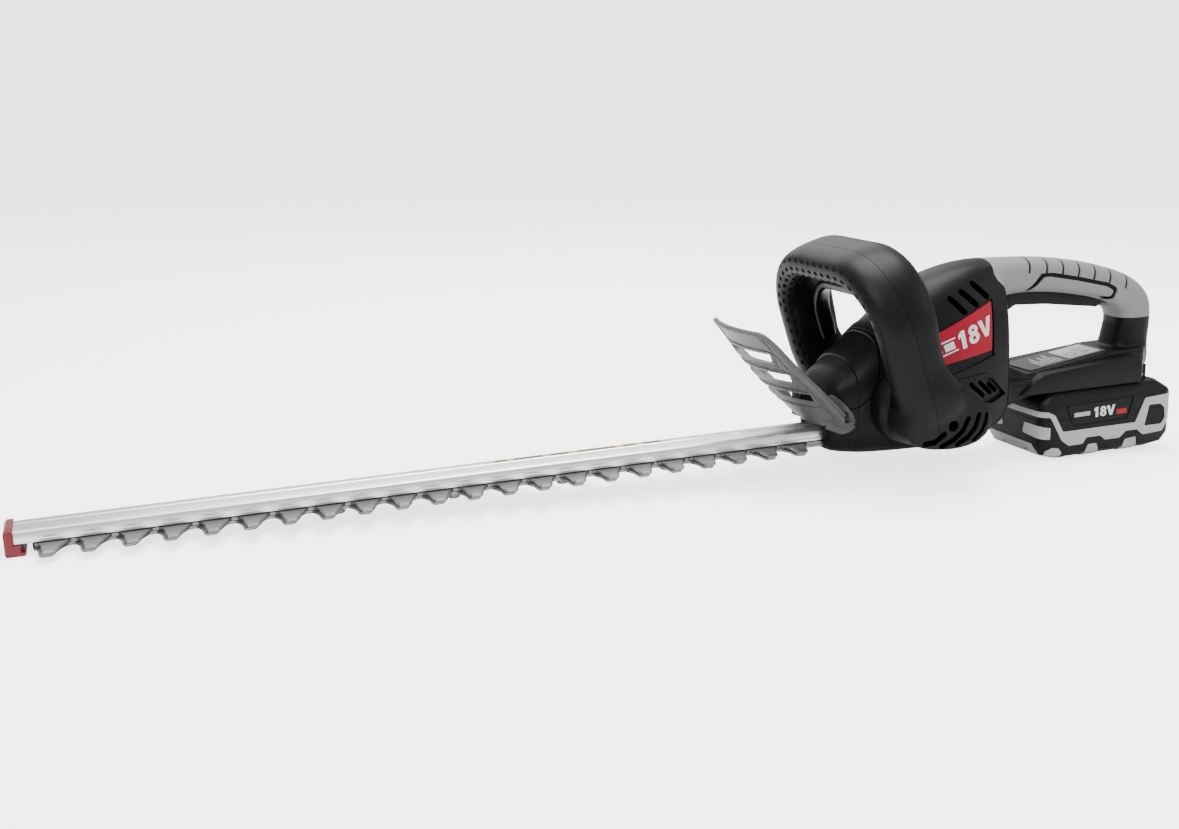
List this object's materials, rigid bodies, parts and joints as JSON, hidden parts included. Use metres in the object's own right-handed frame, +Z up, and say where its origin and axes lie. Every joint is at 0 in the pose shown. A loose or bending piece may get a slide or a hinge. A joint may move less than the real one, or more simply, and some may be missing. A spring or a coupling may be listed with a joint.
{
  "type": "hedge trimmer",
  "caption": "Cordless hedge trimmer with reciprocating toothed blades under an aluminium bar, loop front handle, hand shield, trigger grip and slide-on battery.",
  "frame": {"origin": "on the resting surface, under the middle of the bounding box", "axes": "+X back from the blade tip towards the battery, +Y to the user's right, +Z up. The tool rests 2.04 degrees nose-down on the tip guard's foot and the battery's front lower edge."},
  "size_m": [0.8866, 0.1776, 0.1767],
  "materials": {
    "black_casing": "fine moulded texture, satin",
    "black_grip": "soft moulded grip with dimples",
    "grey_grip": "soft overmould, matt",
    "grey_bumper": "light grey overmould, matt",
    "red_plastic": "satin",
    "smoked_plastic": "smoky translucent, frosted",
    "aluminium_bar": "extruded, satin anodised",
    "cast_metal": "die cast",
    "blade_steel": "ground, lightly oiled",
    "steel": "machined",
    "copper_winding": "varnished winding",
    "ferrite": "sintered",
    "circuit_board": "solder resist",
    "cell_wrap": "shrink sleeve over metal can",
    "label_film": "printed film",
    "battery_shell": "fine moulded texture"
  },
  "bodies": {
    "body": {"guide_bar": "aluminium_bar", "tip_guard": "red_plastic", "blade_bolt_1": "steel", "blade_bolt_2": "steel", "blade_bolt_3": "steel", "blade_bolt_4": "steel", "blade_bolt_5": "steel", "blade_bolt_6": "steel", "gear_case": "cast_metal", "gear_case_plate": "cast_metal", "crank_shaft": "steel", "motor_can": "steel", "motor_end_bell": "black_casing", "motor_magnet_left": "ferrite", "motor_magnet_right": "ferrite", "motor_front_bearing": "steel", "motor_rear_bearing": "steel", "housing_left": "black_casing", "housing_right": "black_casing", "nose_cover": "black_casing", "housing_screw_1": "steel", "housing_screw_2": "steel", "housing_screw_3": "steel", "housing_screw_4": "steel", "housing_screw_5": "steel", "front_handle_grip": "black_grip", "front_handle_back": "black_casing", "front_switch": "black_casing", "hand_shield": "smoked_plastic", "shield_screw_left": "steel", "shield_screw_right": "steel", "grip_left": "grey_grip", "grip_right": "grey_grip", "grip_panel_left": "grey_grip", "grip_panel_right": "grey_grip", "trigger_pin": "steel", "trigger_switch": "black_casing", "badge_left": "red_plastic", "badge_right": "red_plastic", "rating_plate": "label_film", "control_board": "circuit_board", "terminal_block": "black_casing"},
    "upper_blade": {"upper_blade": "blade_steel"},
    "lower_blade": {"lower_blade": "blade_steel"},
    "crank": {"crank_gear": "steel", "crank_bearing": "steel"},
    "rotor": {"motor_shaft": "steel", "motor_armature": "copper_winding", "motor_pinion": "steel", "motor_fan": "black_casing"},
    "trigger": {"trigger": "black_casing"},
    "switch_bar": {"front_switch_bar": "black_casing"},
    "battery": {"battery_lower_case": "battery_shell", "battery_upper_case": "battery_shell", "cell_row_lower": "cell_wrap", "cell_row_upper": "cell_wrap", "battery_board": "circuit_board"},
    "latch": {"battery_latch": "grey_bumper"}
  },
  "joints": [
    {"name": "blade_stroke", "type": "slide", "parent": "body", "child": "upper_blade", "axis": [0.9994, 0, 0.0356], "range_m": [-0.00625, 0.00625]},
    {"name": "lower_blade_stroke", "type": "slide", "parent": "body", "child": "lower_blade", "axis": [0.9994, 0, 0.0356], "range_m": [-0.00625, 0.00625]},
    {"name": "motor_spin", "type": "hinge", "parent": "body", "child": "rotor", "pos_m": [0.21477, 0, 0.08085], "axis": [-0.0356, 0, 0.9994], "continuous": true},
    {"name": "crank_spin", "type": "hinge", "parent": "body", "child": "crank", "pos_m": [0.18843, 0, 0.03389], "axis": [-0.0356, 0, 0.9994], "continuous": true},
    {"name": "trigger_pull", "type": "hinge", "parent": "body", "child": "trigger", "pos_m": [0.30194, 0, 0.13399], "axis": [0, -1, 0], "range_deg": [0, 5], "stiffness_Nm_per_rad": 0.6, "springref_deg": -5.73},
    {"name": "front_switch_press", "type": "slide", "parent": "body", "child": "switch_bar", "axis": [-0.3385, 0, 0.941], "range_m": [0, 0.004], "stiffness_N_per_m": 400, "springref_m": -0.002},
    {"name": "battery_slide", "type": "slide", "parent": "body", "child": "battery", "axis": [0.9994, 0, 0.0356], "range_m": [0, 0.12]},
    {"name": "battery_latch_press", "type": "slide", "parent": "battery", "child": "latch", "axis": [-0.9994, 0, -0.0356], "range_m": [0, 0.003], "stiffness_N_per_m": 500, "springref_m": -0.001}
  ],
  "couplings": [
    {"joint": "lower_blade_stroke", "follows": "blade_stroke", "ratio": -1},
    {"joint": "crank_spin", "follows": "motor_spin", "ratio": -0.25}
  ]
}
